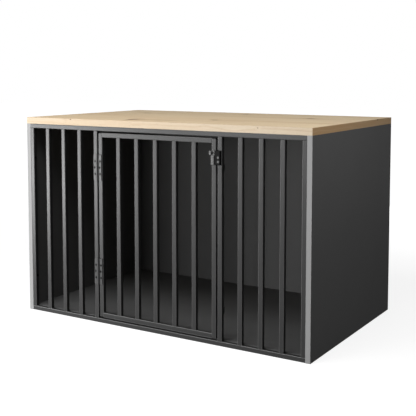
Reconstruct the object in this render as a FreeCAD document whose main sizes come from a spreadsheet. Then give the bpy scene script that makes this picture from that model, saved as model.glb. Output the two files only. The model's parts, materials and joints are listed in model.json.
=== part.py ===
import FreeCAD, Part
import os
import re
import Sketcher

# A boarded pet crate: five boards joined by hidden fittings, a welded grille of square tube in front,
# and in the grille a door on two butt hinges, held shut by a slide bolt. The origin is in the middle of
# the underside, X runs to the right, Y to the back and Z up.

# Driving dimensions in millimetres
SIZES = {
    # Boards and their edge bands
    "crate_width": 1100,
    "crate_depth": 665,
    "crate_height": 690,
    "top_thickness": 22,
    "board_thickness": 16,
    "band_thickness": 1,
    # Fittings between the boards
    "fitting_inset": 80,
    "cam_distance": 34,
    "cam_radius": 7.5,
    "cam_height": 12.5,
    "cam_thread_radius": 2.5,
    "cam_thread_length": 11,
    "cam_neck_radius": 2,
    "cam_head_radius": 3,
    "cam_head_height": 5,
    "dowel_inset": 130,
    "dowel_radius": 4,
    "dowel_face_depth": 10,
    "dowel_edge_depth": 20,
    "dowel_chamfer": 1,
    "bore_clearance": 0.1,
    "bore_relief": 1,
    # Square tube of the grille and the door
    "tube_side": 15,
    "tube_wall": 1.5,
    "tube_corner": 2,
    # Door
    "door_width": 458,
    "door_gap": 6,
    "plug_thickness": 1.5,
    "plug_depth": 8,
    "plug_clearance": 0.1,
    "stop_inset": 80,
    "stop_height": 20,
    "stop_thickness": 3,
    "stop_overlap": 8,
    "stop_clearance": 0.5,
    # Hinges
    "upper_hinge_inset": 117,
    "lower_hinge_inset": 156,
    "hinge_height": 88,
    "leaf_thickness": 3,
    "leaf_corner": 3,
    "knuckle_radius": 4,
    "knuckle_gap": 0.4,
    "knuckle_clearance": 0.4,
    "pin_radius": 2.5,
    "pin_clearance": 0.05,
    "pin_cap_radius": 3.5,
    "pin_cap_height": 1.5,
    "pin_cap_chamfer": 0.8,
    "hinge_hole_pitch": 21.5,
    "hinge_hole_stagger": 2,
    # Slide bolt and keeper
    "latch_inset": 59,
    "latch_width": 11.5,
    "latch_height": 44,
    "latch_depth": 13,
    "latch_corner": 2,
    "guide_height": 14,
    "guide_depth": 9,
    "guide_corner": 1,
    "bolt_radius": 3,
    "bolt_clearance": 0.06,
    "bolt_throw": 8,
    "bolt_tip_recess": 0.5,
    "bolt_chamfer": 0.8,
    "bolt_tail": 4,
    "knob_offset": 1,
    "knob_width": 7,
    "knob_height": 13,
    "knob_depth": 6,
    "knob_corner": 1.5,
    "knob_clearance": 0.5,
    "stem_radius": 2,
    "stem_clearance": 0.05,
    "slot_clearance": 0.4,
    "keeper_gap": 1.5,
    "keeper_inset": 1,
    "keeper_depth": 11,
    "keeper_corner": 1.5,
    "keeper_clearance": 1,
    "latch_screw_drop": 3,
    "latch_screw_pitch": 13,
    # Screws
    "screw_radius": 2,
    "screw_head_radius": 3.6,
    "screw_reach": 3,
    "post_screw_radius": 2.2,
    "post_screw_head_radius": 4.2,
    "post_screw_head_height": 2.6,
    "post_screw_head_chamfer": 0.8,
    "post_screw_grip": 12,
    "post_screw_drop": 120,
    "post_screw_rise": 125,
    "cross_half_length": 1.7,
    "cross_half_width": 0.4,
    "cross_depth": 1.1,
}

# Places and sizes that follow from the driving dimensions
PLACES = {
    "front": "-crate_depth / 2",
    "rear": "crate_depth / 2",
    "board_top": "crate_height - top_thickness",
    "inside_half": "crate_width / 2 - board_thickness",
    "side_middle": "crate_width / 2 - board_thickness / 2",
    "back_middle": "rear - board_thickness / 2",
    "tube_bore": "tube_side - 2 * tube_wall",
    "tube_middle": "front + tube_side / 2",
    "outer_post": "inside_half - tube_side / 2",
    "door_half": "door_width / 2",
    "inner_post": "door_half + door_gap + tube_side / 2",
    "stile": "door_half - tube_side / 2",
    "post_length": "board_top - 2 * tube_side",
    "door_bottom": "tube_side + door_gap",
    "door_top": "board_top - tube_side - door_gap",
    "stile_length": "door_top - door_bottom - 2 * plug_thickness",
    "door_rail_length": "door_width - 2 * tube_side",
    "door_bar_length": "door_top - door_bottom - 2 * tube_side",
    "hinge_axis": "-door_half - door_gap / 2",
    "hinge_plane": "front - knuckle_radius",
    "upper_hinge": "door_top - upper_hinge_inset",
    "lower_hinge": "door_bottom + lower_hinge_inset",
    "leaf_reach": "door_gap / 2 + tube_side - tube_corner",
    "leaf_middle": "door_gap / 2 + tube_side / 2",
    "knuckle_length": "knuckle_pitch - knuckle_gap",
    "leaf_half": "hinge_height / 2 - knuckle_gap / 2",
    "latch_bottom": "door_top - latch_inset - latch_height / 2",
    "latch_left": "door_half - latch_width",
    "bolt_height": "latch_bottom + latch_height - guide_height / 2",
    "bolt_stand": "guide_depth / 2",
    "bolt_length": "latch_width + knob_offset + bolt_tail - bolt_tip_recess",
    "knob_middle": "latch_left - knob_offset",
    "knob_stand": "guide_depth + knob_clearance",
    "keeper_left": "door_half + keeper_gap",
    "keeper_right": "door_half + door_gap + tube_side - keeper_inset",
    "latch_screw": "latch_bottom + latch_height - guide_height - latch_screw_drop",
}

FIXED_BARS = 3
DOOR_BARS = 5
KNUCKLES = 5
POST_KNUCKLES = (0, 2, 4)
DOOR_KNUCKLES = (1, 3)
HINGE_HOLES = (-1, 0, 1)
LATCH_SCREWS = (0, 1)
SIDES = {"left": -1, "right": 1}
PLACES["knuckle_pitch"] = f"hinge_height / {KNUCKLES}"

X = FreeCAD.Vector(1, 0, 0)
Y = FreeCAD.Vector(0, 1, 0)
Z = FreeCAD.Vector(0, 0, 1)
NOWHERE = ("0", "0", "0")
UPRIGHT = FreeCAD.Rotation()

# Sketch numbers: a line's two ends, and the sketch's own origin and axes
START, END = 1, 2
ORIGIN = -1
ACROSS_AXIS = -1
UP_AXIS = -2
TOLERANCE = 1e-6

doc = FreeCAD.newDocument("pet_crate")
sheet = doc.addObject("Spreadsheet::Sheet", "sizes")
for row, (name, size) in enumerate(SIZES.items(), 1):
    sheet.set(f"A{row}", name)
    sheet.set(f"B{row}", str(size))
    sheet.setAlias(f"B{row}", name)
doc.recompute()


def formula(text):
    """The text with its places written out and its sizes turned into cells of the sheet."""
    def expand(match):
        word = match[0]
        if word in PLACES:
            return f"({formula(PLACES[word])})"
        return f"sizes.{word}" if word in SIZES else word
    return re.sub(r"[a-z_]+", expand, text)


def value(text):
    """What a formula comes to now."""
    return float(sheet.evalExpression(formula(text)))


def bind(thing, **formulas):
    """Tie properties of a document object to formulas."""
    for name, text in formulas.items():
        thing.setExpression(name, formula(text))


def facing(z_axis, x_axis):
    """The rotation that turns an object's own Z and X to these directions."""
    return FreeCAD.Rotation(x_axis, z_axis.cross(x_axis), z_axis, "ZXY")


def place(thing, spot, turn=UPRIGHT):
    """Turn an object and tie its origin to three formulas."""
    thing.Placement = FreeCAD.Placement(FreeCAD.Vector(), turn)
    for axis, text in zip("xyz", spot):
        thing.setExpression(f"Placement.Base.{axis}", formula(text))


def block(label, size, corner):
    """A box from its three sizes and its lowest corner."""
    box = doc.addObject("Part::Box", label)
    bind(box, Length=size[0], Width=size[1], Height=size[2])
    place(box, corner)
    return box


def rod(label, radius, length, spot=NOWHERE, turn=UPRIGHT):
    """A cylinder that stands on the spot along its own Z."""
    cylinder = doc.addObject("Part::Cylinder", label)
    bind(cylinder, Radius=radius, Height=length)
    place(cylinder, spot, turn)
    return cylinder


def copy(form, spot, turn=UPRIGHT):
    """Another of the same form, somewhere else."""
    link = doc.addObject("App::Link", f"{form.Label}_copy")
    link.LinkedObject = form
    link.LinkTransform = True
    place(link, spot, turn)
    return link


def group(label, members):
    """Separate solids kept under one label."""
    compound = doc.addObject("Part::Compound", label)
    compound.Links = members
    return compound


def joined(label, members):
    """Several shapes made into one solid."""
    fusion = doc.addObject("Part::MultiFuse", label)
    fusion.Shapes = members
    return fusion


def cut(label, base, cutters):
    """The base with the cutters taken out of it."""
    result = doc.addObject("Part::Cut", label)
    result.Base = base
    result.Tool = group(f"{label}_cutters", cutters)
    return result


def sketch_on(body, plane, lift="0"):
    """An empty sketch on one of the body's own planes, lifted off it."""
    sketch = body.newObject("Sketcher::SketchObject", "outline")
    support = next(feature for feature in body.Origin.OriginFeatures if feature.Role == plane)
    sketch.AttachmentSupport = [(support, "")]
    sketch.MapMode = "FlatFace"
    sketch.setExpression("AttachmentOffset.Base.z", formula(lift))
    return sketch


def hold(sketch, kind, axis, line, text):
    """Keep a line's start at a bound distance from the sketch's origin, or on its axis."""
    if text == "0":
        sketch.addConstraint(Sketcher.Constraint("PointOnObject", line, START, axis))
        return
    rule = Sketcher.Constraint(kind, ORIGIN, START, line, START, value(text))
    number = sketch.addConstraint(rule)
    sketch.setExpression(f"Constraints[{number}]", formula(text))


def outline(sketch, points):
    """A closed run of lines between corners that are pairs of formulas."""
    corners = [FreeCAD.Vector(value(across), value(up), 0) for across, up in points]
    first = sketch.GeometryCount
    count = len(points)
    for index, corner in enumerate(corners):
        sketch.addGeometry(Part.LineSegment(corner, corners[(index + 1) % count]))
    for index, (across, up) in enumerate(points):
        line = first + index
        following = first + (index + 1) % count
        sketch.addConstraint(Sketcher.Constraint("Coincident", line, END, following, START))
        hold(sketch, "DistanceX", UP_AXIS, line, across)
        hold(sketch, "DistanceY", ACROSS_AXIS, line, up)


def rectangle(left, right, bottom, top):
    """The four corners of a rectangle."""
    return [(left, bottom), (right, bottom), (right, top), (left, top)]


def square(side):
    """The four corners of a square about the origin."""
    return rectangle(f"-{side} / 2", f"{side} / 2", f"-{side} / 2", f"{side} / 2")


def new_body(label):
    """An empty body."""
    return doc.addObject("PartDesign::Body", label)


def pad(body, sketch, length, backwards=False):
    """Raise a sketch by a bound length."""
    feature = body.newObject("PartDesign::Pad", "pad")
    feature.Profile = sketch
    feature.Reversed = backwards
    bind(feature, Length=length)
    doc.recompute()
    return feature


def on(edge, **spots):
    """Whether the middle of an edge lies on the given coordinates, on either side of the origin."""
    middle = edge.CenterOfMass
    return all(abs(abs(getattr(middle, axis)) - abs(spot)) < TOLERANCE for axis, spot in spots.items())


def round_edges(body, feature, radius, chosen):
    """Round the edges of a feature that the test picks."""
    names = [f"Edge{number}" for number, edge in enumerate(feature.Shape.Edges, 1) if chosen(edge)]
    fillet = body.newObject("PartDesign::Fillet", "rounding")
    fillet.Base = (feature, names)
    bind(fillet, Radius=radius)
    doc.recompute()
    return fillet


def turned(label, points):
    """A body turned about its own Z from corners given as radius and height."""
    body = new_body(label)
    profile = sketch_on(body, "XZ_Plane")
    outline(profile, points)
    turning = body.newObject("PartDesign::Revolution", "turning")
    turning.Profile = profile
    turning.ReferenceAxis = (profile, ["V_Axis"])
    doc.recompute()
    return body


def cross_recess(body, height):
    """Sink a driver cross into the top of a head that ends at this height."""
    long_half = "cross_half_length"
    thin_half = "cross_half_width"
    quarter = [(thin_half, long_half), (thin_half, thin_half), (long_half, thin_half)]
    signs = [("", ""), ("", "-"), ("-", "-"), ("-", "")]
    points = []
    for number, (across_sign, up_sign) in enumerate(signs):
        arm = quarter if number % 2 == 0 else quarter[::-1]
        points += [(across_sign + across, up_sign + up) for across, up in arm]
    sketch = sketch_on(body, "XY_Plane", height)
    outline(sketch, points)
    whole = body.Shape.Volume
    pocket = body.newObject("PartDesign::Pocket", "cross")
    pocket.Profile = sketch
    bind(pocket, Length="cross_depth")
    doc.recompute()
    if body.Shape.Volume >= whole:
        raise RuntimeError(f"{body.Label}: the cross cuts nothing")


def tube(label, length, spot, turn=UPRIGHT):
    """A square tube with rounded corners that runs along its own Z."""
    body = new_body(label)
    ring = sketch_on(body, "XY_Plane")
    outline(ring, square("tube_side"))
    outline(ring, square("tube_bore"))
    wall = pad(body, ring, length)
    half = value("tube_side") / 2
    round_edges(body, wall, "tube_corner", lambda edge: on(edge, x=half, y=half))
    place(body, spot, turn)
    return body


def countersunk(label, length):
    """A flat-headed screw with its head's face at the origin, and the hole that takes it."""
    cone = "(screw_head_radius - screw_radius)"
    screw = turned(f"{label}_form", [
        ("0", "0"),
        ("screw_head_radius", "0"),
        ("screw_radius", f"-{cone}"),
        ("screw_radius", f"-({length})"),
        ("0", f"-({length})"),
    ])
    cross_recess(screw, "0")
    hole = turned(f"{label}_hole", [
        ("0", "0"),
        ("screw_head_radius + bore_clearance", "0"),
        ("screw_radius + bore_clearance", f"-{cone}"),
        ("screw_radius + bore_clearance", f"-({length} + bore_relief)"),
        ("0", f"-({length} + bore_relief)"),
    ])
    return screw, hole


parts = []
tools = {}


def keep(*pieces):
    """Hand pieces in as parts of the crate."""
    parts.extend(pieces)


def drill(owners, tool):
    """Note a tool that cuts each of these pieces."""
    for owner in owners:
        tools.setdefault(owner, []).append(tool)


# Forms of the fittings between the boards. A fitting's Z runs from the board whose face is joined into the
# board whose edge is joined; a cam's Z points out of the face that it is sunk in, and its Y to the joint.
cam_bolt_form = turned("cam_bolt_form", [
    ("0", "-cam_thread_length"),
    ("cam_thread_radius", "-cam_thread_length"),
    ("cam_thread_radius", "0"),
    ("cam_neck_radius", "0"),
    ("cam_neck_radius", "cam_distance - cam_head_height / 2"),
    ("cam_head_radius", "cam_distance - cam_head_height / 2"),
    ("cam_head_radius", "cam_distance + cam_head_height / 2"),
    ("0", "cam_distance + cam_head_height / 2"),
])
cam_bolt_bore = turned("cam_bolt_bore", [
    ("0", "-cam_thread_length - bore_relief"),
    ("cam_thread_radius + bore_clearance", "-cam_thread_length - bore_relief"),
    ("cam_thread_radius + bore_clearance", "0"),
    ("cam_head_radius + bore_clearance", "0"),
    ("cam_head_radius + bore_clearance", "cam_distance"),
    ("0", "cam_distance"),
])
cam_disc = turned("cam_disc", rectangle("0", "cam_radius", "-cam_height", "0"))
cross_recess(cam_disc, "0")
cam_mouth = rod(
    "cam_mouth", "cam_head_radius + bore_clearance", "cam_radius + cam_head_height / 2 + bore_clearance",
    ("0", "-cam_head_height / 2 - bore_clearance", "-board_thickness / 2"), facing(Y, X))
cam_lock_form = cut("cam_lock_form", cam_disc, [cam_mouth])
cam_bore = turned("cam_bore", rectangle(
    "0", "cam_radius + bore_clearance", "-cam_height - bore_relief", "bore_relief"))
dowel_form = turned("dowel_form", [
    ("0", "-dowel_face_depth"),
    ("dowel_radius - dowel_chamfer", "-dowel_face_depth"),
    ("dowel_radius", "dowel_chamfer - dowel_face_depth"),
    ("dowel_radius", "dowel_edge_depth - dowel_chamfer"),
    ("dowel_radius - dowel_chamfer", "dowel_edge_depth"),
    ("0", "dowel_edge_depth"),
])
dowel_bore = turned("dowel_bore", rectangle(
    "0", "dowel_radius + bore_clearance",
    "-dowel_face_depth - bore_relief", "dowel_edge_depth + bore_relief"))

cam_bolts = []
cam_locks = []
dowels = []


def fit_cam(boards, spot, inward, cam_spot, cam_face):
    """A cam bolt across a joint and the cam that pulls it tight."""
    turn = facing(inward, cam_face)
    cam_turn = facing(cam_face, cam_face.cross(inward))
    cam_bolts.append(copy(cam_bolt_form, spot, turn))
    cam_locks.append(copy(cam_lock_form, cam_spot, cam_turn))
    drill(boards, copy(cam_bolt_bore, spot, turn))
    drill(boards[1:], copy(cam_bore, cam_spot, cam_turn))


def fit_dowel(boards, spot, inward, across):
    """A dowel across a joint."""
    turn = facing(inward, across)
    dowels.append(copy(dowel_form, spot, turn))
    drill(boards, copy(dowel_bore, spot, turn))


def fit_boards():
    """The fittings of every joint between two boards."""
    for side, sign in SIDES.items():
        inward = X * -sign
        panel = f"{side}_side_panel"
        edge = f"{sign} * inside_half"
        cam_edge = f"{sign} * (inside_half - cam_distance)"
        middle = f"{sign} * side_middle"
        for y in ("front + fitting_inset", "rear - fitting_inset"):
            fit_cam(("top_panel", panel), (middle, y, "board_top"), -Z,
                    (edge, y, "board_top - cam_distance"), inward)
            fit_cam((panel, "bottom_panel"), (edge, y, "board_thickness / 2"), inward,
                    (cam_edge, y, "0"), -Z)
        for z in ("fitting_inset", "board_top - fitting_inset"):
            fit_cam((panel, "back_panel"), (edge, "back_middle", z), inward, (cam_edge, "rear", z), Y)
        for y in ("front + dowel_inset", "rear - dowel_inset"):
            fit_dowel(("top_panel", panel), (middle, y, "board_top"), -Z, X)
            fit_dowel((panel, "bottom_panel"), (edge, y, "board_thickness / 2"), inward, Y)
        for z in ("dowel_inset", "board_top - dowel_inset"):
            fit_dowel((panel, "back_panel"), (edge, "back_middle", z), inward, Y)
        x = f"{sign} * (inside_half - dowel_inset)"
        fit_dowel(("top_panel", "back_panel"), (x, "back_middle", "board_top"), -Z, X)
    keep(group("cam_bolts", cam_bolts), group("cam_locks", cam_locks), group("board_dowels", dowels))


def fit_grille_screws():
    """Round-headed screws through the outer posts into the side panels."""
    length = "tube_side + post_screw_grip"
    form = turned("post_screw_form", [
        ("0", "post_screw_head_height"),
        ("post_screw_head_radius - post_screw_head_chamfer", "post_screw_head_height"),
        ("post_screw_head_radius", "post_screw_head_height - post_screw_head_chamfer"),
        ("post_screw_head_radius", "0"),
        ("post_screw_radius", "0"),
        ("post_screw_radius", f"-({length})"),
        ("0", f"-({length})"),
    ])
    cross_recess(form, "post_screw_head_height")
    bore = turned("post_screw_bore", rectangle(
        "0", "post_screw_radius + bore_clearance", f"-({length} + bore_relief)", "bore_relief"))
    screws = []
    for side, sign in SIDES.items():
        turn = facing(X * -sign, Y)
        for z in ("board_top - post_screw_drop", "post_screw_rise"):
            spot = (f"{sign} * (inside_half - tube_side)", "tube_middle", z)
            screws.append(copy(form, spot, turn))
            drill((f"{side}_post", f"{side}_side_panel"), copy(bore, spot, turn))
    keep(group("grille_screws", screws))


def board(label, size, corner):
    """A board with the bores of its fittings."""
    keep(cut(label, block(f"{label}_blank", size, corner), tools[label]))


def make_boards():
    """The five boards and their edge bands."""
    inside_width = "2 * inside_half"
    core_width = "crate_width - 2 * band_thickness"
    core_depth = "crate_depth - 2 * band_thickness"
    core_left = "band_thickness - crate_width / 2"
    core_front = "front + band_thickness"
    board("top_panel", (core_width, core_depth, "top_thickness"), (core_left, core_front, "board_top"))
    long_band = ("crate_width", "band_thickness", "top_thickness")
    short_band = ("band_thickness", core_depth, "top_thickness")
    keep(group("top_edge_bands", [
        block("top_front_band", long_band, ("-crate_width / 2", "front", "board_top")),
        block("top_rear_band", long_band, ("-crate_width / 2", "rear - band_thickness", "board_top")),
        block("top_left_band", short_band, ("-crate_width / 2", core_front, "board_top")),
        block("top_right_band", short_band, ("crate_width / 2 - band_thickness", core_front, "board_top")),
    ]))
    side_size = ("board_thickness", "crate_depth - band_thickness", "board_top")
    band_size = ("board_thickness", "band_thickness", "board_top")
    for side, sign in SIDES.items():
        left = f"{sign} * side_middle - board_thickness / 2"
        board(f"{side}_side_panel", side_size, (left, core_front, "0"))
        keep(block(f"{side}_front_band", band_size, (left, "front", "0")))
    board("back_panel", (inside_width, "board_thickness", "board_top"),
          ("-inside_half", "rear - board_thickness", "0"))
    board("bottom_panel", (inside_width, "crate_depth - tube_side - board_thickness", "board_thickness"),
          ("-inside_half", "front + tube_side", "0"))


def upright(label, length, x, bottom):
    """A tube that stands in the plane of the grille, with the holes drilled in it."""
    spot = (x, "tube_middle", bottom)
    if label in tools:
        keep(cut(label, tube(f"{label}_tube", length, spot), tools[label]))
    else:
        keep(tube(label, length, spot))


def rail(label, half_length, height):
    """A level tube across the grille."""
    keep(tube(label, f"2 * ({half_length})", (f"-({half_length})", "tube_middle", height), facing(X, Y)))


def make_grille():
    """The fixed tubes in front: two rails, four posts and the bars between the posts."""
    rail("grille_top_rail", "inside_half", "board_top - tube_side / 2")
    rail("grille_bottom_rail", "inside_half", "tube_side / 2")
    upright("hinge_post", "post_length", "-inner_post", "tube_side")
    upright("latch_post", "post_length", "inner_post", "tube_side")
    for side, sign in SIDES.items():
        upright(f"{side}_post", "post_length", f"{sign} * outer_post", "tube_side")
        step = f"(outer_post - inner_post) / {FIXED_BARS + 1}"
        for number in range(1, FIXED_BARS + 1):
            steps_in = number if side == "left" else FIXED_BARS + 1 - number
            x = f"{sign} * (outer_post - {steps_in} * {step})"
            upright(f"{side}_bar_{number}", "post_length", x, "tube_side")


def make_door():
    """The door's frame, its bars and the plugs in its open tube ends."""
    upright("door_hinge_stile", "stile_length", "-stile", "door_bottom + plug_thickness")
    upright("door_latch_stile", "stile_length", "stile", "door_bottom + plug_thickness")
    rail("door_top_rail", "door_rail_length / 2", "door_top - tube_side / 2")
    rail("door_bottom_rail", "door_rail_length / 2", "door_bottom + tube_side / 2")
    for number in range(1, DOOR_BARS + 1):
        x = f"stile * ({2 * number} / {DOOR_BARS + 1} - 1)"
        upright(f"door_bar_{number}", "door_bar_length", x, "door_bottom + tube_side")
    plug = new_body("end_plug_form")
    cap = sketch_on(plug, "XY_Plane")
    outline(cap, square("tube_side"))
    plate = pad(plug, cap, "plug_thickness")
    half = value("tube_side") / 2
    round_edges(plug, plate, "tube_corner", lambda edge: on(edge, x=half, y=half))
    shank = sketch_on(plug, "XY_Plane")
    outline(shank, square("(tube_bore - 2 * plug_clearance)"))
    pad(plug, shank, "plug_depth", backwards=True)
    plugs = []
    for sign in SIDES.values():
        x = f"{sign} * stile"
        plugs.append(copy(plug, (x, "tube_middle", "door_top - plug_thickness"), facing(Z, X)))
        plugs.append(copy(plug, (x, "tube_middle", "door_bottom + plug_thickness"), facing(-Z, X)))
    keep(group("door_end_plugs", plugs))


def make_stops():
    """Two tabs on the back of the latch post that catch the door's stile as it shuts."""
    form = new_body("door_stop_form")
    profile = sketch_on(form, "XY_Plane")
    reach = "-(door_gap + stop_overlap)"
    outline(profile, [
        ("0", "0"),
        ("tube_side", "0"),
        ("tube_side", "stop_thickness"),
        (reach, "stop_thickness"),
        (reach, "stop_clearance"),
        ("0", "stop_clearance"),
    ])
    pad(form, profile, "stop_height")
    x = "door_half + door_gap"
    y = "front + tube_side"
    keep(group("door_stops", [
        copy(form, (x, y, "door_top - stop_inset - stop_height")),
        copy(form, (x, y, "door_bottom + stop_inset")),
    ]))


def knuckle_rod(label, number, radius, length):
    """A rod about the hinge's axis in the middle of one knuckle's share of it."""
    middle = f"{2 * number + 1} * knuckle_pitch / 2 - hinge_height / 2"
    return rod(label, radius, length, ("0", "0", f"{middle} - ({length}) / 2"))


def hinge_leaf(label, sign, own, other, height, hole):
    """One leaf of a butt hinge, its plate on the side of the axis that the sign gives."""
    plate_body = new_body(f"{label}_plate")
    plate = sketch_on(plate_body, "XZ_Plane", "-knuckle_radius")
    outline(plate, rectangle("0", f"{sign} * leaf_reach", "-leaf_half", "leaf_half"))
    sheet_metal = pad(plate_body, plate, "leaf_thickness")
    reach = value("leaf_reach")
    top = value("leaf_half")
    round_edges(plate_body, sheet_metal, "leaf_corner", lambda edge: on(edge, x=reach, z=top))
    barrel = [knuckle_rod(f"{label}_knuckle", number, "knuckle_radius", "knuckle_length") for number in own]
    room = [knuckle_rod(f"{label}_room", number, "knuckle_radius + knuckle_clearance",
                        "knuckle_pitch + knuckle_gap") for number in other]
    bore = rod(f"{label}_bore", "pin_radius + pin_clearance", "hinge_height",
               ("0", "0", "-hinge_height / 2"))
    holes = []
    for step in HINGE_HOLES:
        stagger = "-hinge_hole_stagger / 2" if step == 0 else "hinge_hole_stagger / 2"
        x = f"{sign} * leaf_middle + {stagger}"
        holes.append((x, f"{step} * hinge_hole_pitch"))
    face = "knuckle_radius - leaf_thickness"
    sunk = [copy(hole, (x, face, z), facing(-Y, X)) for x, z in holes]
    form = cut(f"{label}_form", joined(f"{label}_whole", [plate_body] + barrel), [bore] + room + sunk)
    keep(group(label, [copy(form, ("hinge_axis", "hinge_plane", height))]))
    return [(f"hinge_axis + {x}", "front - leaf_thickness", f"{height} + {z}") for x, z in holes]


def make_hinges():
    """Two butt hinges with their pins and screws."""
    screw, hole = countersunk("hinge_screw", "leaf_thickness + tube_wall + screw_reach")
    cap_end = "leaf_half + pin_cap_height"
    half_pin = [
        ("pin_radius", "leaf_half"),
        ("pin_cap_radius", "leaf_half"),
        ("pin_cap_radius", f"{cap_end} - pin_cap_chamfer"),
        ("pin_cap_radius - pin_cap_chamfer", cap_end),
        ("0", cap_end),
    ]
    pin = turned("hinge_pin_form", half_pin + [(radius, f"-({z})") for radius, z in half_pin[::-1]])
    screws = {"hinge_post": [], "door_hinge_stile": []}
    leaves = {
        "hinge_post": ("post", -1, POST_KNUCKLES, DOOR_KNUCKLES),
        "door_hinge_stile": ("door", 1, DOOR_KNUCKLES, POST_KNUCKLES),
    }
    for level in ("upper", "lower"):
        height = f"{level}_hinge"
        keep(group(f"{level}_hinge_pin", [copy(pin, ("hinge_axis", "hinge_plane", height))]))
        for carrier, (name, sign, own, other) in leaves.items():
            spots = hinge_leaf(f"{level}_hinge_{name}_leaf", sign, own, other, height, hole)
            for spot in spots:
                screws[carrier].append(copy(screw, spot, facing(-Y, X)))
                drill((carrier,), copy(hole, spot, facing(-Y, X)))
    keep(group("hinge_post_screws", screws["hinge_post"]))
    keep(group("hinge_door_screws", screws["door_hinge_stile"]))


def latch_screws(label, owner, carrier, x, depth):
    """The two screws of a latch piece, which also drill the piece and the tube behind it."""
    screw, hole = countersunk(label, f"{depth} + tube_wall + screw_reach")
    screws = []
    for number in LATCH_SCREWS:
        spot = (x, f"front - {depth}", f"latch_screw - {number} * latch_screw_pitch - screw_head_radius")
        screws.append(copy(screw, spot, facing(-Y, X)))
        drill((owner, carrier), copy(hole, spot, facing(-Y, X)))
    keep(group(label, screws))


def make_latch():
    """The slide bolt on the door and its keeper on the latch post."""
    latch_screws("latch_screws", "latch_housing", "door_latch_stile",
                 "door_half - latch_width / 2", "latch_depth")
    latch_screws("keeper_screws", "latch_keeper", "latch_post",
                 "inner_post", "keeper_depth")

    housing = new_body("latch_housing_block")
    side = sketch_on(housing, "YZ_Plane")
    step = "latch_height - guide_height"
    outline(side, [
        ("0", "0"),
        ("-latch_depth", "0"),
        ("-latch_depth", step),
        ("-guide_depth", step),
        ("-guide_depth", "latch_height"),
        ("0", "latch_height"),
    ])
    stock = pad(housing, side, "latch_width")
    front_face = value("latch_depth")
    guide_face = value("guide_depth")
    guide_top = value("latch_height")
    eased = round_edges(housing, stock, "latch_corner", lambda edge: on(edge, y=front_face))
    round_edges(housing, eased, "guide_corner", lambda edge: on(edge, y=guide_face, z=guide_top))
    place(housing, ("latch_left", "front", "latch_bottom"))

    along = facing(X, Y)
    stem_room = "stem_radius + slot_clearance"
    slot_length = f"bolt_throw - knob_offset + {stem_room}"
    drill(("latch_housing",), rod("bolt_guide", "bolt_radius + bolt_clearance", "latch_width",
                                  ("latch_left", "front - bolt_stand", "bolt_height"), along))
    drill(("latch_housing",), block(
        "knob_slot", (slot_length, "guide_depth", f"2 * ({stem_room})"),
        ("latch_left", "front - guide_depth - bolt_stand", f"bolt_height - ({stem_room})")))
    keep(cut("latch_housing", housing, tools["latch_housing"]))

    bar = turned("bolt_bar", [
        ("0", "0"),
        ("bolt_radius - bolt_chamfer", "0"),
        ("bolt_radius", "bolt_chamfer"),
        ("bolt_radius", "bolt_length - bolt_chamfer"),
        ("bolt_radius - bolt_chamfer", "bolt_length"),
        ("0", "bolt_length"),
    ])
    place(bar, ("knob_middle - bolt_tail", "front - bolt_stand", "bolt_height"), along)
    stem_spot = ("knob_middle", "front - bolt_stand", "bolt_height")
    socket = rod("stem_socket", "stem_radius + stem_clearance", "guide_depth", stem_spot, facing(-Y, X))
    keep(cut("latch_bolt", bar, [socket]))

    button = new_body("knob_button")
    button_face = sketch_on(button, "XY_Plane", "knob_stand - bolt_stand")
    outline(button_face, rectangle(
        "-knob_width / 2", "knob_width / 2", "-knob_height / 2", "knob_height / 2"))
    tab = pad(button, button_face, "knob_depth")
    outer_face = value("knob_stand - bolt_stand + knob_depth")
    corner_x = value("knob_width / 2")
    corner_y = value("knob_height / 2")
    round_edges(button, tab, "knob_corner",
                lambda edge: on(edge, z=outer_face) or on(edge, x=corner_x, y=corner_y))
    stem = rod("knob_stem", "stem_radius", "knob_stand - bolt_stand + knob_depth / 2")
    knob = joined("knob_form", [button, stem])
    keep(group("bolt_knob", [copy(knob, stem_spot, facing(-Y, X))]))

    catch = new_body("latch_keeper_block")
    catch_side = sketch_on(catch, "YZ_Plane")
    outline(catch_side, rectangle("-keeper_depth", "0", "0", "latch_height"))
    catch_stock = pad(catch, catch_side, "keeper_right - keeper_left")
    catch_face = value("keeper_depth")
    round_edges(catch, catch_stock, "keeper_corner", lambda edge: on(edge, y=catch_face))
    place(catch, ("keeper_left", "front", "latch_bottom"))
    bolt_reach = "bolt_throw - keeper_gap - bolt_tip_recess + bore_relief"
    mouth_half = "(bolt_radius + keeper_clearance)"
    drill(("latch_keeper",), block(
        "keeper_mouth", (bolt_reach, f"bolt_stand + {mouth_half}", f"2 * {mouth_half}"),
        ("keeper_left", f"front - bolt_stand - {mouth_half}", f"bolt_height - {mouth_half}")))
    keep(cut("latch_keeper", catch, tools["latch_keeper"]))


def write_parts():
    """Check every object of the document, then write each part to its own file."""
    doc.recompute()
    failed = [thing.Label for thing in doc.Objects if {"Invalid", "Error"} & set(thing.State)]
    if failed:
        raise RuntimeError(f"not built: {failed}")
    for part in parts:
        if part.Shape.isNull() or not part.Shape.isValid():
            raise RuntimeError(f"not a sound shape: {part.Label}")
    os.makedirs("parts", exist_ok=True)
    for part in parts:
        part.Shape.exportStep(f"parts/{part.Label}.step")


fit_boards()
fit_grille_screws()
make_hinges()
make_latch()
make_boards()
make_grille()
make_door()
make_stops()
write_parts()
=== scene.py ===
import json
import math

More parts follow.
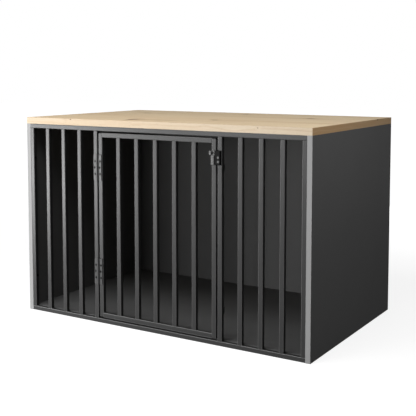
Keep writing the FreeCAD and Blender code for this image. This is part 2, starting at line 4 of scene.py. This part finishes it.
import bpy
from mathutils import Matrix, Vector


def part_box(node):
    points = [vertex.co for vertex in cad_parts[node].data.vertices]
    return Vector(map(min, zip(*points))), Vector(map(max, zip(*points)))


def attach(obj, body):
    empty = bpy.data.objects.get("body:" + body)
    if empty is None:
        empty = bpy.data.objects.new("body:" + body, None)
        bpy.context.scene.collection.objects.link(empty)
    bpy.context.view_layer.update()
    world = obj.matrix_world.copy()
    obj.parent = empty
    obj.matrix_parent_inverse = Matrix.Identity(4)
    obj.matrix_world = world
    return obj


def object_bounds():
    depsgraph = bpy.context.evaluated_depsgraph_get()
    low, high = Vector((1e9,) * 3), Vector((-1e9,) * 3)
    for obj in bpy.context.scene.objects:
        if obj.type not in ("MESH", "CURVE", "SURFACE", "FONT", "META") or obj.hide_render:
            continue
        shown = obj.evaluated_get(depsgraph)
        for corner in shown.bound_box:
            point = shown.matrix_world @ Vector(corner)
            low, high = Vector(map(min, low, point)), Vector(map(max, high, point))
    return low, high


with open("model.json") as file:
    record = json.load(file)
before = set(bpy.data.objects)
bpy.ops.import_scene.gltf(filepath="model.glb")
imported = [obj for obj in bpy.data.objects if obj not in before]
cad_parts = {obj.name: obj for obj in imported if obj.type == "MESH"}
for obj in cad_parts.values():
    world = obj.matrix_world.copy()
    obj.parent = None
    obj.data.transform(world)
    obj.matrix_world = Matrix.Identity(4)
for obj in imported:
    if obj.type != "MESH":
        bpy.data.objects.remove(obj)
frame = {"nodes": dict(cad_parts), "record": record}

# The looks of a boarded pet crate: an oak print on the top board, anthracite boards, light grey front
# bands, and a powder coated grille with its door, hinges and latch. Metres, in the frame of the solids.

cad_low, cad_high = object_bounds()

# Camera at the photo's angle: right of the front and just above the top
CAMERA_SPOT = Vector((1.5422, -2.5199, 0.8494))
CAMERA_YAW = math.radians(31.658)
CAMERA_PITCH = math.radians(4.600)
CAMERA_LENS = 72.55
CAMERA_SHIFT = (0.0048, -0.165)

# Studio light: soft boxes given by their spot, width, height and power, and light from all round
LAMPS = {
    "key": (Vector((-1.90, -1.85, 0.30)), 0.6, 0.60, 42.5),
    "front": (Vector((-0.95, -2.90, 0.70)), 1.0, 0.90, 27),
    "overhead": (Vector((-0.25, -1.02, 2.05)), 1.8, 0.70, 25.5),
    "fill": (Vector((1.35, -0.40, 1.20)), 0.5, 0.50, 4.4),
    "back": (Vector((0.00, 2.60, 0.42)), 2.0, 0.70, 16),
}
AMBIENT = 0.09

# The floor: half its width, its own glow near the crate, how far out the glow starts to rise and where it
# is full, and the floor's grey where it is seen and where light bounces off it
FLOOR_REACH = 15
FLOOR_GLOW = 0.82
FLOOR_NEAR = 1.2
FLOOR_FAR = 3.2
FLOOR_GREY = 0.35
FLOOR_BOUNCE = 0.08

# Colours, as linear red, green and blue; two painted shades multiply the oak, darker and warmer on the
# upper face and darker and browner on the ends, for how light falls there
OAK_LIGHT = (0.795, 0.70, 0.558)
OAK_DARK = (0.707, 0.578, 0.428)
OAK_LINE = (0.575, 0.415, 0.262)
# Painted shade on the oak: the upper face and the two ends, darkened for how light falls on them
OAK_TOP_PAINTED_SHADE = (0.955, 0.89, 0.752)
OAK_END_PAINTED_SHADE = (0.67, 0.492, 0.308)
OAK_STREAK = (0.50, 0.335, 0.195)
OAK_PORE = (0.27, 0.18, 0.11)
OAK_FLAME = (0.36, 0.22, 0.13)
KNOT_HALO = (0.33, 0.20, 0.11)
KNOT_CORE = (0.075, 0.042, 0.025)
BEECH_LIGHT = (0.62, 0.44, 0.28)
BEECH_DARK = (0.50, 0.34, 0.20)
WHITE = (1.0, 1.0, 1.0)

# Greys, as one linear number
ANTHRACITE = 0.115
BAND_GREY = 0.38
GRAPHITE = 0.019
# Painted highlight: the paler grey along the tubes' round corners
CORNER_PAINTED_HIGHLIGHT = 0.15
HINGE_GREY = 0.045
LATCH_GREY = 0.12
PLASTIC_BLACK = 0.005
SCREW_BLACK = 0.002
ZINC_GREY = 0.27

# Roughness of each finish
WOOD_ROUGHNESS = 0.60
BOARD_ROUGHNESS = 0.60
BAND_ROUGHNESS = 0.42
COAT_ROUGHNESS = 0.37
HINGE_ROUGHNESS = 0.38
LATCH_ROUGHNESS = 0.34
PLASTIC_ROUGHNESS = 0.55
SCREW_ROUGHNESS = 0.45
ZINC_ROUGHNESS = 0.46

# Knots of the oak print: place along the grain, across it and up, then the half length and half width
KNOTS = (
    (-0.148, -0.248, 0.690, 0.0105, 0.0290),
    (0.107, -0.136, 0.690, 0.0140, 0.0085),
    (0.345, 0.105, 0.690, 0.0170, 0.0105),
    (-0.365, 0.140, 0.690, 0.0150, 0.0090),
    (0.020, 0.235, 0.690, 0.0120, 0.0070),
    (-0.350, -0.333, 0.688, 0.0025, 0.0014),
    (0.373, -0.333, 0.684, 0.0018, 0.0010),
    (0.196, 0.550, 0.689, 0.0043, 0.0024),
    (-0.120, -0.550, 0.680, 0.0080, 0.0045),
    (0.250, 0.333, 0.678, 0.0090, 0.0050),
)

# Brown flames in the grain beside the knots, in the same way
FLAMES = (
    (-0.118, -0.246, 0.690, 0.0400, 0.0270),
    (-0.052, -0.236, 0.690, 0.0900, 0.0150),
    (0.170, -0.140, 0.690, 0.0700, 0.0070),
    (0.325, 0.107, 0.690, 0.1000, 0.0085),
    (-0.340, 0.138, 0.690, 0.1100, 0.0080),
    (0.045, 0.233, 0.690, 0.0850, 0.0060),
)

# How many half sizes away the nearest spot counts as, on wood that has none
NOWHERE_NEAR = 100.0

# Growth rings, counted in half rings, light and then dark: how many there are in a metre across the grain
# and in a metre of height, how many they waver by, and how many lie between a knot's middle and its rim
RINGS_ACROSS = 62.0
RINGS_UP = 130.0
RINGS_WAVER = 7.0
RINGS_IN_KNOT = 0.9

# How strongly each layer of the wood covers what lies below it
STREAK_SHARE_SIDES = 0.12
STREAK_SHARE_TOP = 0.55
LATE_WOOD_SHARE = 0.34
FIBRE_SHARE = 0.42
PORE_SHARE = 0.45
FLAME_SHARE = 0.55
HALO_SHARE = 0.70
CORE_SHARE = 0.90
WORN_EDGE_SHARE = 0.25

# Depth of the pores, where the fibres rise by 1
PORE_DEPTH = 0.8

# A face looks along an axis where its normal's part along that axis is more than this
SQUARELY = 0.7

# The largest part of a normal along its piece's axes: where a round corner starts and where it is full
CORNER_START = 0.99
CORNER_FULL = 0.85

# Radius of the worn edges, and how soon they show on boards and on metal and plastic fittings
EDGE_RADIUS = 0.0006
EDGE_GAIN_BOARDS = 3.0
EDGE_GAIN_FITTINGS = 2.5

# Weld beads: the leg, what is left free at the tubes' round corners, the rings along a bead, the ripples
# and their size, the share of the length that tapers at each end, and the size there. The section is
# given in legs, out along one tube and up the other.
WELD_LEG = 0.0021
WELD_CORNER = 0.0024
WELD_RINGS = 13
WELD_RIPPLES = 4
WELD_RIPPLE = 0.10
WELD_TAPER = 0.25
WELD_END = 0.35
WELD_SECTION = ((-0.1, -0.1), (1.0, -0.1), (0.85, 0.2), (0.44, 0.44), (0.2, 0.85), (-0.1, 1.0))

# The Mix node's first input, second input and output for each kind of data
MIX_SOCKETS = {"FLOAT": (2, 3, 0), "VECTOR": (4, 5, 1), "RGBA": (6, 7, 2)}


class Nodes:
    """A node tree in the making: each call adds nodes, and most give an output to feed to the next."""

    def __init__(self, tree):
        self.tree = tree

    def feed(self, socket, value):
        """Link an output to a socket, or set the socket's own value; a colour gets an alpha of 1."""
        if isinstance(value, bpy.types.NodeSocket):
            self.tree.links.new(value, socket)
        elif socket.type == "RGBA":
            socket.default_value = (*value, 1.0)
        else:
            socket.default_value = value

    def node(self, kind, inputs=None, **settings):
        """A node with its settings and inputs."""
        made = self.tree.nodes.new(f"ShaderNode{kind}")
        for name, setting in settings.items():
            setattr(made, name, setting)
        for name, value in (inputs or {}).items():
            self.feed(made.inputs[name], value)
        return made

    def math(self, operation, first, second=0.0):
        """A sum, product or the like of two numbers."""
        return self.node("Math", {0: first, 1: second}, operation=operation).outputs[0]

    def plus(self, value, extra, share):
        """A value with a share of another added."""
        return self.math("ADD", value, self.math("MULTIPLY", extra, share))

    def split(self, vector):
        """The X, Y and Z of a vector."""
        return self.node("SeparateXYZ", {0: vector}).outputs

    def length(self, vector):
        """The length of a vector."""
        return self.node("VectorMath", {0: vector}, operation="LENGTH").outputs["Value"]

    def mix(self, share, first, second, data_type="RGBA", **settings):
        """Two numbers, places or colours mixed by a share."""
        first_input, second_input, output = MIX_SOCKETS[data_type]
        inputs = {0: share, first_input: first, second_input: second}
        return self.node("Mix", inputs, data_type=data_type, **settings).outputs[output]

    def seen_directly(self):
        """1 for rays from the camera, a mirror or a clear surface, and 0 for light that bounces."""
        path = self.node("LightPath").outputs
        seen = path["Is Camera Ray"]
        for name in ("Is Glossy Ray", "Is Transmission Ray"):
            seen = self.math("MAXIMUM", seen, path[name])
        return seen


class Surface(Nodes):
    """A material in the making, with the places and normals that its patterns start from."""

    def __init__(self, name):
        self.material = bpy.data.materials.new(name)
        self.material.use_nodes = True
        super().__init__(self.material.node_tree)
        self.shader = self.tree.nodes["Principled BSDF"]
        self.place = self.node("TexCoord").outputs["Object"]
        self.normal = self.node("NewGeometry").outputs["Normal"]
        self.rounded = self.node("Bevel", {"Radius": EDGE_RADIUS}, samples=4).outputs["Normal"]

    def spread(self, value, low, high):
        """A value from 0 to 1 moved to the range from low to high."""
        return self.node("MapRange", {"Value": value, "To Min": low, "To Max": high}).outputs[0]

    def around(self, middle, value, swing):
        """A value from 0 to 1 that swings up and down around a middle instead."""
        return self.spread(value, middle - swing, middle + swing)

    def step(self, value, start, end):
        """A smooth rise from 0 at start to 1 at end."""
        inputs = {"Value": value, "From Min": start, "From Max": end}
        return self.node("MapRange", inputs, interpolation_type="SMOOTHSTEP").outputs[0]

    def noise(self, waves, detail, roughness, place=None):
        """Noise with its own number of waves in a metre along each axis."""
        source = self.place if place is None else place
        stretched = self.node("Mapping", {"Vector": source, "Scale": waves}).outputs[0]
        inputs = {"Vector": stretched, "Scale": 1.0, "Detail": detail, "Roughness": roughness}
        return self.node("TexNoise", inputs).outputs[0]

    def even_noise(self, waves, detail, roughness):
        """Noise with the same number of waves in a metre along every axis."""
        return self.noise((waves, waves, waves), detail, roughness)

    def stain(self, colour, tint, mask, share):
        """A colour that a tint covers by a share where the mask is 1."""
        return self.mix(self.math("MULTIPLY", mask, share), colour, tint)

    def varied(self, grey, fine, wide):
        """A grey made darker and lighter by a fine and a wide noise, each given with its swing."""
        both = self.math("MULTIPLY", self.around(1.0, *fine), self.around(1.0, *wide))
        return self.math("MULTIPLY", both, grey)

    def grey(self, value):
        """A number as a grey."""
        return self.node("CombineColor", {"Red": value, "Green": value, "Blue": value}).outputs[0]

    def nearness(self, spots, place):
        """How far the nearest of some flattened spots is: 0 at its middle and 1 on its rim."""
        nearest = NOWHERE_NEAR
        for along, across, up, half_length, half_width in spots:
            waves = Vector((1 / half_length, 1 / half_width, 1 / half_width))
            away = -waves * Vector((along, across, up))
            scaled = self.node("Mapping", {"Vector": place, "Location": away, "Scale": waves}).outputs[0]
            nearest = self.math("MINIMUM", nearest, self.length(scaled))
        return nearest

    def edges(self, gain):
        """How near a sharp edge the surface is, from 0 to 1."""
        along = self.node("VectorMath", {0: self.rounded, 1: self.normal}, operation="DOT_PRODUCT")
        turn = self.math("SUBTRACT", 1.0, along.outputs["Value"])
        return self.node("Math", {0: turn, 1: gain}, operation="MULTIPLY", use_clamp=True).outputs[0]

    def corners(self):
        """How far the surface turns from the piece's own axes: 0 on flats and 1 in round corners."""
        own_normal = self.node("TexCoord").outputs["Normal"]
        sizes = self.node("VectorMath", {0: own_normal}, operation="ABSOLUTE").outputs["Vector"]
        along = self.split(sizes)
        most = self.math("MAXIMUM", self.math("MAXIMUM", along["X"], along["Y"]), along["Z"])
        return self.step(most, CORNER_START, CORNER_FULL)

    def finish(self, colour, roughness, height, depth, **values):
        """Feed the shader with a colour, a roughness, a relief of some depth and plain values."""
        inputs = {"Height": height, "Distance": depth, "Strength": 1.0, "Normal": self.rounded}
        relief = self.node("Bump", inputs).outputs[0]
        self.feed(self.shader.inputs["Base Color"], colour)
        self.feed(self.shader.inputs["Roughness"], roughness)
        self.feed(self.shader.inputs["Normal"], relief)
        for name, value in values.items():
            self.shader.inputs[name.replace("_", " ")].default_value = value
        return self.material


def along_grain(wood):
    """Places with the grain along X on every face, and masks of the end faces and of the upper face."""
    spot = wood.split(wood.place)
    facing = wood.split(wood.normal)
    end = wood.math("GREATER_THAN", wood.math("ABSOLUTE", facing["X"]), SQUARELY)
    upward = wood.math("GREATER_THAN", facing["Z"], SQUARELY)
    turned = wood.node("CombineXYZ", {"X": spot["Y"], "Y": spot["X"], "Z": spot["Z"]}).outputs[0]
    return wood.mix(end, wood.place, turned, data_type="VECTOR"), end, upward


def late_wood(wood, grain, nearest, ragged):
    """The dark part of each growth ring. The rings waver along the grain and close round the knots."""
    waver = wood.noise((3.0, 14.0, 14.0), detail=3.0, roughness=0.55, place=grain)
    part = wood.split(grain)
    straight = wood.math("MULTIPLY", part["Y"], RINGS_ACROSS)
    straight = wood.plus(straight, part["Z"], RINGS_UP)
    straight = wood.plus(straight, waver, RINGS_WAVER)
    closed = wood.math("MULTIPLY", ragged, RINGS_IN_KNOT)
    rings = wood.mix(wood.step(nearest, start=6.0, end=1.0), straight, closed, data_type="FLOAT")
    return wood.step(wood.math("PINGPONG", rings, 1.0), start=0.45, end=1.0)


def timber(name, light, dark, line, knots=(), flames=()):
    """Wood along X, or along Y on faces that look along X, with rings, fibres, pores and knots."""
    wood = Surface(name)
    grain, end, upward = along_grain(wood)
    torn = wood.noise((45.0, 110.0, 110.0), detail=4.0, roughness=0.65, place=grain)
    fray = wood.around(1.0, torn, swing=0.55)
    nearest = wood.nearness(knots, grain)
    ragged = wood.math("MULTIPLY", nearest, fray)
    licking = wood.math("MULTIPLY", wood.nearness(flames, grain), fray)
    late = late_wood(wood, grain, nearest, ragged)

    tone = wood.noise((0.9, 5.5, 9.0), detail=3.0, roughness=0.55, place=grain)
    bands = wood.noise((1.3, 11.0, 11.0), detail=4.0, roughness=0.6, place=grain)
    streaks = wood.step(bands, start=0.50, end=0.72)
    streak_share = wood.spread(upward, STREAK_SHARE_SIDES, STREAK_SHARE_TOP)
    fibres = wood.noise((9.0, 420.0, 420.0), detail=4.0, roughness=0.65, place=grain)
    specks = wood.noise((55.0, 1300.0, 1300.0), detail=2.0, roughness=0.5, place=grain)
    pores = wood.step(specks, start=0.62, end=0.74)

    colour = wood.mix(wood.step(tone, start=0.30, end=0.72), light, dark)
    colour = wood.stain(colour, OAK_STREAK, streaks, streak_share)
    # Painted shade: the upper face and the end faces are darkened and browned for how light falls on them,
    # not by the print
    colour = wood.mix(upward, colour, OAK_TOP_PAINTED_SHADE, blend_type="MULTIPLY")
    colour = wood.mix(end, colour, OAK_END_PAINTED_SHADE, blend_type="MULTIPLY")
    colour = wood.stain(colour, line, late, LATE_WOOD_SHARE)
    colour = wood.mix(wood.spread(fibres, low=0.0, high=FIBRE_SHARE), colour, line)
    colour = wood.stain(colour, OAK_PORE, pores, PORE_SHARE)
    colour = wood.stain(colour, OAK_FLAME, wood.step(licking, start=1.3, end=0.3), FLAME_SHARE)
    colour = wood.stain(colour, KNOT_HALO, wood.step(ragged, start=2.2, end=0.8), HALO_SHARE)
    colour = wood.stain(colour, KNOT_CORE, wood.step(ragged, start=1.15, end=0.65), CORE_SHARE)
    colour = wood.stain(colour, light, wood.edges(EDGE_GAIN_BOARDS), WORN_EDGE_SHARE)

    height = wood.plus(fibres, pores, -PORE_DEPTH)
    roughness = wood.around(WOOD_ROUGHNESS, fibres, swing=0.08)
    return wood.finish(colour, roughness, height, depth=0.00012, Specular_IOR_Level=0.03)


def board(name, grey, roughness, fine_waves):
    """A plain coloured melamine or edge band with a fine pearl texture, scuffs and paler edges."""
    face = Surface(name)
    pearl = face.even_noise(fine_waves, detail=2.0, roughness=0.6)
    cloud = face.even_noise(4.0, detail=4.0, roughness=0.6)
    rubs = face.noise((25.0, 25.0, 160.0), detail=4.0, roughness=0.7)
    scuffs = face.step(rubs, start=0.60, end=0.80)
    shade = face.varied(grey, (pearl, 0.14), (cloud, 0.10))
    shade = face.plus(shade, scuffs, share=0.10 * grey)
    shade = face.plus(shade, face.edges(EDGE_GAIN_BOARDS), share=0.5 * grey)
    gloss = face.plus(face.around(roughness, cloud, swing=0.05), scuffs, share=0.06)
    return face.finish(face.grey(shade), gloss, pearl, depth=0.00004, Specular_IOR_Level=0.01)


def powder_coat(name, grey, roughness, corner_highlight=0.0):
    """Satin powder coat on steel: faint orange peel, fine flakes, edges rubbed paler, painted highlight on
    round corners.
    """
    coat = Surface(name)
    peel = coat.even_noise(520.0, detail=2.0, roughness=0.5)
    flakes = coat.even_noise(2600.0, detail=1.0, roughness=0.5)
    cloud = coat.noise((9.0, 9.0, 5.0), detail=4.0, roughness=0.6)
    shade = coat.varied(grey, (flakes, 0.20), (cloud, 0.12))
    rubbed = coat.math("MULTIPLY", coat.edges(EDGE_GAIN_FITTINGS), coat.spread(cloud, low=0.3, high=1.0))
    shade = coat.plus(shade, rubbed, share=0.8 * grey)
    # Painted highlight: paler lines along the round corners of the tubes, where light would catch them
    if corner_highlight:
        painted_corner_lines = coat.math("MULTIPLY", coat.corners(), coat.around(1.0, cloud, swing=0.3))
        shade = coat.plus(shade, painted_corner_lines, share=corner_highlight)
    gloss = coat.around(roughness, cloud, swing=0.04)
    gloss = coat.math("ADD", gloss, coat.around(0.0, peel, swing=0.03))
    return coat.finish(coat.grey(shade), gloss, peel, depth=0.00005, Specular_IOR_Level=0.29)


def bare_metal(name, grey, roughness):
    """Plated or blackened steel with fine tool marks."""
    metal = Surface(name)
    marks = metal.noise((900.0, 900.0, 2400.0), detail=3.0, roughness=0.6)
    cloud = metal.even_noise(70.0, detail=4.0, roughness=0.6)
    shade = metal.varied(grey, (marks, 0.15), (cloud, 0.20))
    shade = metal.plus(shade, metal.edges(EDGE_GAIN_FITTINGS), share=0.4 * grey)
    gloss = metal.around(roughness, marks, swing=0.07)
    return metal.finish(metal.grey(shade), gloss, marks, depth=0.00003, Metallic=1.0)


def moulded_plastic(name, grey, roughness):
    """Matt moulded plastic with a spark eroded texture."""
    plastic = Surface(name)
    pits = plastic.even_noise(1500.0, detail=3.0, roughness=0.7)
    cloud = plastic.even_noise(40.0, detail=3.0, roughness=0.5)
    shade = plastic.varied(grey, (pits, 0.25), (cloud, 0.10))
    shade = plastic.plus(shade, plastic.edges(EDGE_GAIN_FITTINGS), share=grey)
    gloss = plastic.around(roughness, pits, swing=0.06)
    return plastic.finish(plastic.grey(shade), gloss, pits, depth=0.00005, Specular_IOR_Level=0.06)


def dress_nodes():
    """Give every solid the finish of its slot."""
    finishes = {
        "oak_laminate": timber("oak_laminate_print", OAK_LIGHT, OAK_DARK, OAK_LINE, KNOTS, FLAMES),
        "anthracite_board": board("anthracite_melamine", ANTHRACITE, BOARD_ROUGHNESS, fine_waves=1800.0),
        "light_grey_band": board("light_grey_edge_band", BAND_GREY, BAND_ROUGHNESS, fine_waves=1200.0),
        "graphite_steel": powder_coat("graphite_powder_coat", GRAPHITE, COAT_ROUGHNESS, CORNER_PAINTED_HIGHLIGHT),
        "hinge_steel": powder_coat("hinge_powder_coat", HINGE_GREY, HINGE_ROUGHNESS),
        "latch_metal": powder_coat("latch_powder_coat", LATCH_GREY, LATCH_ROUGHNESS),
        "black_plastic": moulded_plastic("black_moulded_plastic", PLASTIC_BLACK, PLASTIC_ROUGHNESS),
        "dark_screw": bare_metal("blackened_screw_steel", SCREW_BLACK, SCREW_ROUGHNESS),
        "zinc": bare_metal("bright_zinc", ZINC_GREY, ZINC_ROUGHNESS),
        "beech": timber("turned_beech", BEECH_LIGHT, BEECH_DARK, BEECH_DARK),
    }
    for subpart in frame["record"]["subparts"]:
        node = frame["nodes"][subpart["node"]]
        node.material_slots[0].material = finishes[subpart["material_slot"]]


def weld_bead(corner, side, up, length):
    """Corners of a rippled fillet weld, ring by ring, that runs along Y in the corner of two tubes."""
    points = []
    for ring in range(WELD_RINGS):
        share = ring / (WELD_RINGS - 1)
        taper = min(1.0, share / WELD_TAPER, (1 - share) / WELD_TAPER) ** 0.5
        ripple = 1 + WELD_RIPPLE * math.sin(2 * math.pi * WELD_RIPPLES * share)
        leg = WELD_LEG * (WELD_END + (1 - WELD_END) * taper) * ripple
        middle = corner + Vector((0, (share - 0.5) * length, 0))
        for across, rise in WELD_SECTION:
            points.append(middle + Vector((side * across * leg, 0, up * rise * leg)))
    return points


def bead_faces(first):
    """Faces that close a bead whose corners start at a number."""
    ring_size = len(WELD_SECTION)
    faces = []
    for ring in range(WELD_RINGS - 1):
        here = first + ring * ring_size
        beyond = here + ring_size
        for spot in range(ring_size):
            following = (spot + 1) % ring_size
            faces.append((here + spot, here + following, beyond + following, beyond + spot))
    last = first + (WELD_RINGS - 1) * ring_size
    faces.append(tuple(range(first + ring_size - 1, first - 1, -1)))
    faces.append(tuple(range(last, last + ring_size)))
    return faces


def upright_corners(name, sides):
    """The corners where an upright tube meets the rails at its ends, on the sides given."""
    low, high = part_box(name)
    for side in sides:
        x = high.x if side > 0 else low.x
        for z, up in ((low.z, 1), (high.z, -1)):
            yield Vector((x, (low.y + high.y) / 2, z)), side, up


def rail_corners(name, up):
    """The two inner corners where a door rail meets the stiles."""
    low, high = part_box(name)
    z = high.z if up > 0 else low.z
    for x, side in ((low.x, 1), (high.x, -1)):
        yield Vector((x, (low.y + high.y) / 2, z)), side, up


def make_welds(name, corners, body, finish):
    """One piece of all the weld beads of a welded frame, each as long as the flat side of a tube."""
    low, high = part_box("left_bar_1")
    length = high.y - low.y - 2 * WELD_CORNER
    points = []
    faces = []
    for corner, side, up in corners:
        faces += bead_faces(len(points))
        points += weld_bead(corner, side, up, length)
    mesh = bpy.data.meshes.new(name)
    mesh.from_pydata(points, [], faces)
    mesh.validate()
    mesh.materials.append(finish)
    for face in mesh.polygons:
        face.use_smooth = True
    welds = bpy.data.objects.new(name, mesh)
    bpy.context.scene.collection.objects.link(welds)
    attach(welds, body)


def weld_frames():
    """Fillet welds in the inner corners of the grille and of the door."""
    finish = powder_coat("weld_powder_coat", GRAPHITE, COAT_ROUGHNESS)
    grille = [*upright_corners("left_post", (1,)), *upright_corners("right_post", (-1,))]
    for name in ("hinge_post", "latch_post"):
        grille += upright_corners(name, (-1, 1))
    for side in ("left", "right"):
        for number in (1, 2, 3):
            grille += upright_corners(f"{side}_bar_{number}", (-1, 1))
    make_welds("grille_welds", grille, "crate", finish)
    door = [*rail_corners("door_top_rail", -1), *rail_corners("door_bottom_rail", 1)]
    for number in (1, 2, 3, 4, 5):
        door += upright_corners(f"door_bar_{number}", (-1, 1))
    make_welds("door_welds", door, "door", finish)


def floor_finish():
    """White further out, and near the crate a weaker glow, which lets lamp light and shadow show."""
    material = bpy.data.materials.new("pale_floor")
    material.use_nodes = True
    material.node_tree.nodes.clear()
    nodes = Nodes(material.node_tree)
    away = nodes.length(nodes.node("TexCoord").outputs["Object"])
    reach = {"Value": away, "From Min": FLOOR_NEAR, "From Max": FLOOR_FAR, "To Min": FLOOR_GLOW}
    glow = nodes.node("Emission", {"Strength": nodes.node("MapRange", reach).outputs[0]}).outputs[0]
    lit = nodes.node("BsdfDiffuse", {"Color": (FLOOR_GREY,) * 3}).outputs[0]
    seen = nodes.node("AddShader", {0: lit, 1: glow}).outputs[0]
    bounced = nodes.node("BsdfDiffuse", {"Color": (FLOOR_BOUNCE,) * 3}).outputs[0]
    choice = nodes.node("MixShader", {0: nodes.seen_directly(), 1: bounced, 2: seen}).outputs[0]
    nodes.node("OutputMaterial", {"Surface": choice})
    return material


def make_floor():
    """A pale floor that keeps the shadow near the crate and fades to white further out."""
    ends = (-FLOOR_REACH, FLOOR_REACH)
    corners = [(x, y, 0) for y in ends for x in ends]
    mesh = bpy.data.meshes.new("floor")
    mesh.from_pydata(corners, [], [(0, 1, 3, 2)])
    mesh.materials.append(floor_finish())
    floor = bpy.data.objects.new("floor", mesh)
    bpy.context.scene.collection.objects.link(floor)


def make_world():
    """White where it is seen, and a plain soft light all round."""
    world = bpy.data.worlds.new("studio")
    bpy.context.scene.world = world
    world.use_nodes = True
    world.node_tree.nodes.clear()
    nodes = Nodes(world.node_tree)
    light = nodes.node("Background", {"Color": WHITE, "Strength": AMBIENT}).outputs[0]
    seen = nodes.node("Background", {"Color": WHITE, "Strength": 1.0}).outputs[0]
    choice = nodes.node("MixShader", {0: nodes.seen_directly(), 1: light, 2: seen}).outputs[0]
    nodes.node("OutputWorld", {"Surface": choice})


def make_lamp(name, spot, width, height, power):
    """A soft box that faces the middle of the crate and isn't seen itself."""
    lamp = bpy.data.lights.new(name, "AREA")
    lamp.shape = "RECTANGLE"
    lamp.size = width
    lamp.size_y = height
    lamp.energy = power
    holder = bpy.data.objects.new(name, lamp)
    holder.location = spot
    holder.rotation_mode = "QUATERNION"
    holder.rotation_quaternion = ((cad_low + cad_high) / 2 - spot).to_track_quat("-Z", "Y")
    holder.visible_camera = False
    bpy.context.scene.collection.objects.link(holder)


def make_camera():
    """The photo's point of view."""
    lens = bpy.data.cameras.new("camera")
    lens.lens = CAMERA_LENS
    lens.shift_x, lens.shift_y = CAMERA_SHIFT
    camera = bpy.data.objects.new("camera", lens)
    camera.location = CAMERA_SPOT
    camera.rotation_euler = (math.pi / 2 - CAMERA_PITCH, 0, CAMERA_YAW)
    bpy.context.scene.collection.objects.link(camera)
    bpy.context.scene.camera = camera


dress_nodes()
weld_frames()
make_floor()
make_world()
for name, (spot, width, height, power) in LAMPS.items():
    make_lamp(name, spot, width, height, power)
make_camera()
bpy.context.scene.view_settings.view_transform = "Standard"
